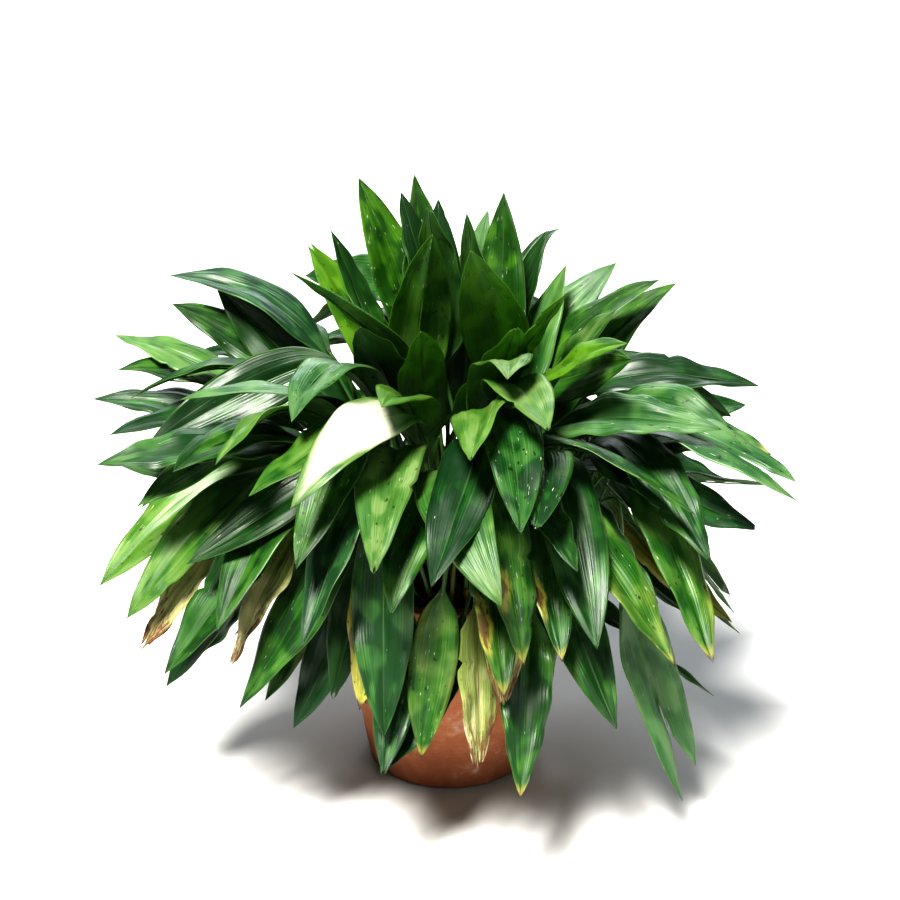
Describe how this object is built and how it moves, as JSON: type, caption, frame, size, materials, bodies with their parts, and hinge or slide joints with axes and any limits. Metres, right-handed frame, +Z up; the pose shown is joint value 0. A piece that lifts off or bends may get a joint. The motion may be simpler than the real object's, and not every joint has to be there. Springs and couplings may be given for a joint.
{
  "type": "potted cast iron plant",
  "caption": "Plain round terracotta pot holding a wide dome of long-stalked, lance-shaped ribbed leaves that arch outwards and hang over the rim.",
  "frame": {"origin": "centre of the pot's underside, on the surface that it stands on", "axes": "+Z up along the pot's axis; -Y is the front that the picture shows; +X is to its right"},
  "size_m": [1.0067, 0.9497, 0.9169],
  "materials": {
    "terracotta": "unglazed fired clay, matt, stained with lime",
    "potting_soil": "crumbly, matt",
    "green_leaf": "leathery, half gloss, ribbed along its length",
    "dry_leaf": "papery, matt"
  },
  "bodies": {
    "root": {"dry_leaf_1": "dry_leaf", "dry_leaf_2": "dry_leaf", "dry_leaf_3": "dry_leaf", "dry_leaf_4": "dry_leaf", "dry_leaf_5": "dry_leaf", "dry_leaf_6": "dry_leaf", "dry_leaf_7": "dry_leaf", "pot": "terracotta", "shoot_01": "green_leaf", "shoot_02": "green_leaf", "shoot_03": "green_leaf", "shoot_04": "green_leaf", "shoot_05": "green_leaf", "shoot_06": "green_leaf", "shoot_07": "green_leaf", "shoot_08": "green_leaf", "shoot_09": "green_leaf", "shoot_10": "green_leaf", "shoot_11": "green_leaf", "shoot_12": "green_leaf", "shoot_13": "green_leaf", "shoot_14": "green_leaf", "shoot_15": "green_leaf", "shoot_16": "green_leaf", "shoot_17": "green_leaf", "shoot_18": "green_leaf", "shoot_19": "green_leaf", "shoot_20": "green_leaf", "shoot_21": "green_leaf", "shoot_22": "green_leaf", "shoot_23": "green_leaf", "shoot_24": "green_leaf", "shoot_25": "green_leaf", "shoot_26": "green_leaf", "shoot_27": "green_leaf", "shoot_28": "green_leaf", "shoot_29": "green_leaf", "shoot_30": "green_leaf", "shoot_31": "green_leaf", "shoot_32": "green_leaf", "shoot_33": "green_leaf", "shoot_34": "green_leaf", "shoot_35": "green_leaf", "shoot_36": "green_leaf", "shoot_37": "green_leaf", "shoot_38": "green_leaf", "shoot_39": "green_leaf", "shoot_40": "green_leaf", "shoot_41": "green_leaf", "shoot_42": "green_leaf", "shoot_43": "green_leaf", "shoot_44": "green_leaf", "shoot_45": "green_leaf", "soil": "potting_soil"}
  },
  "joints": []
}
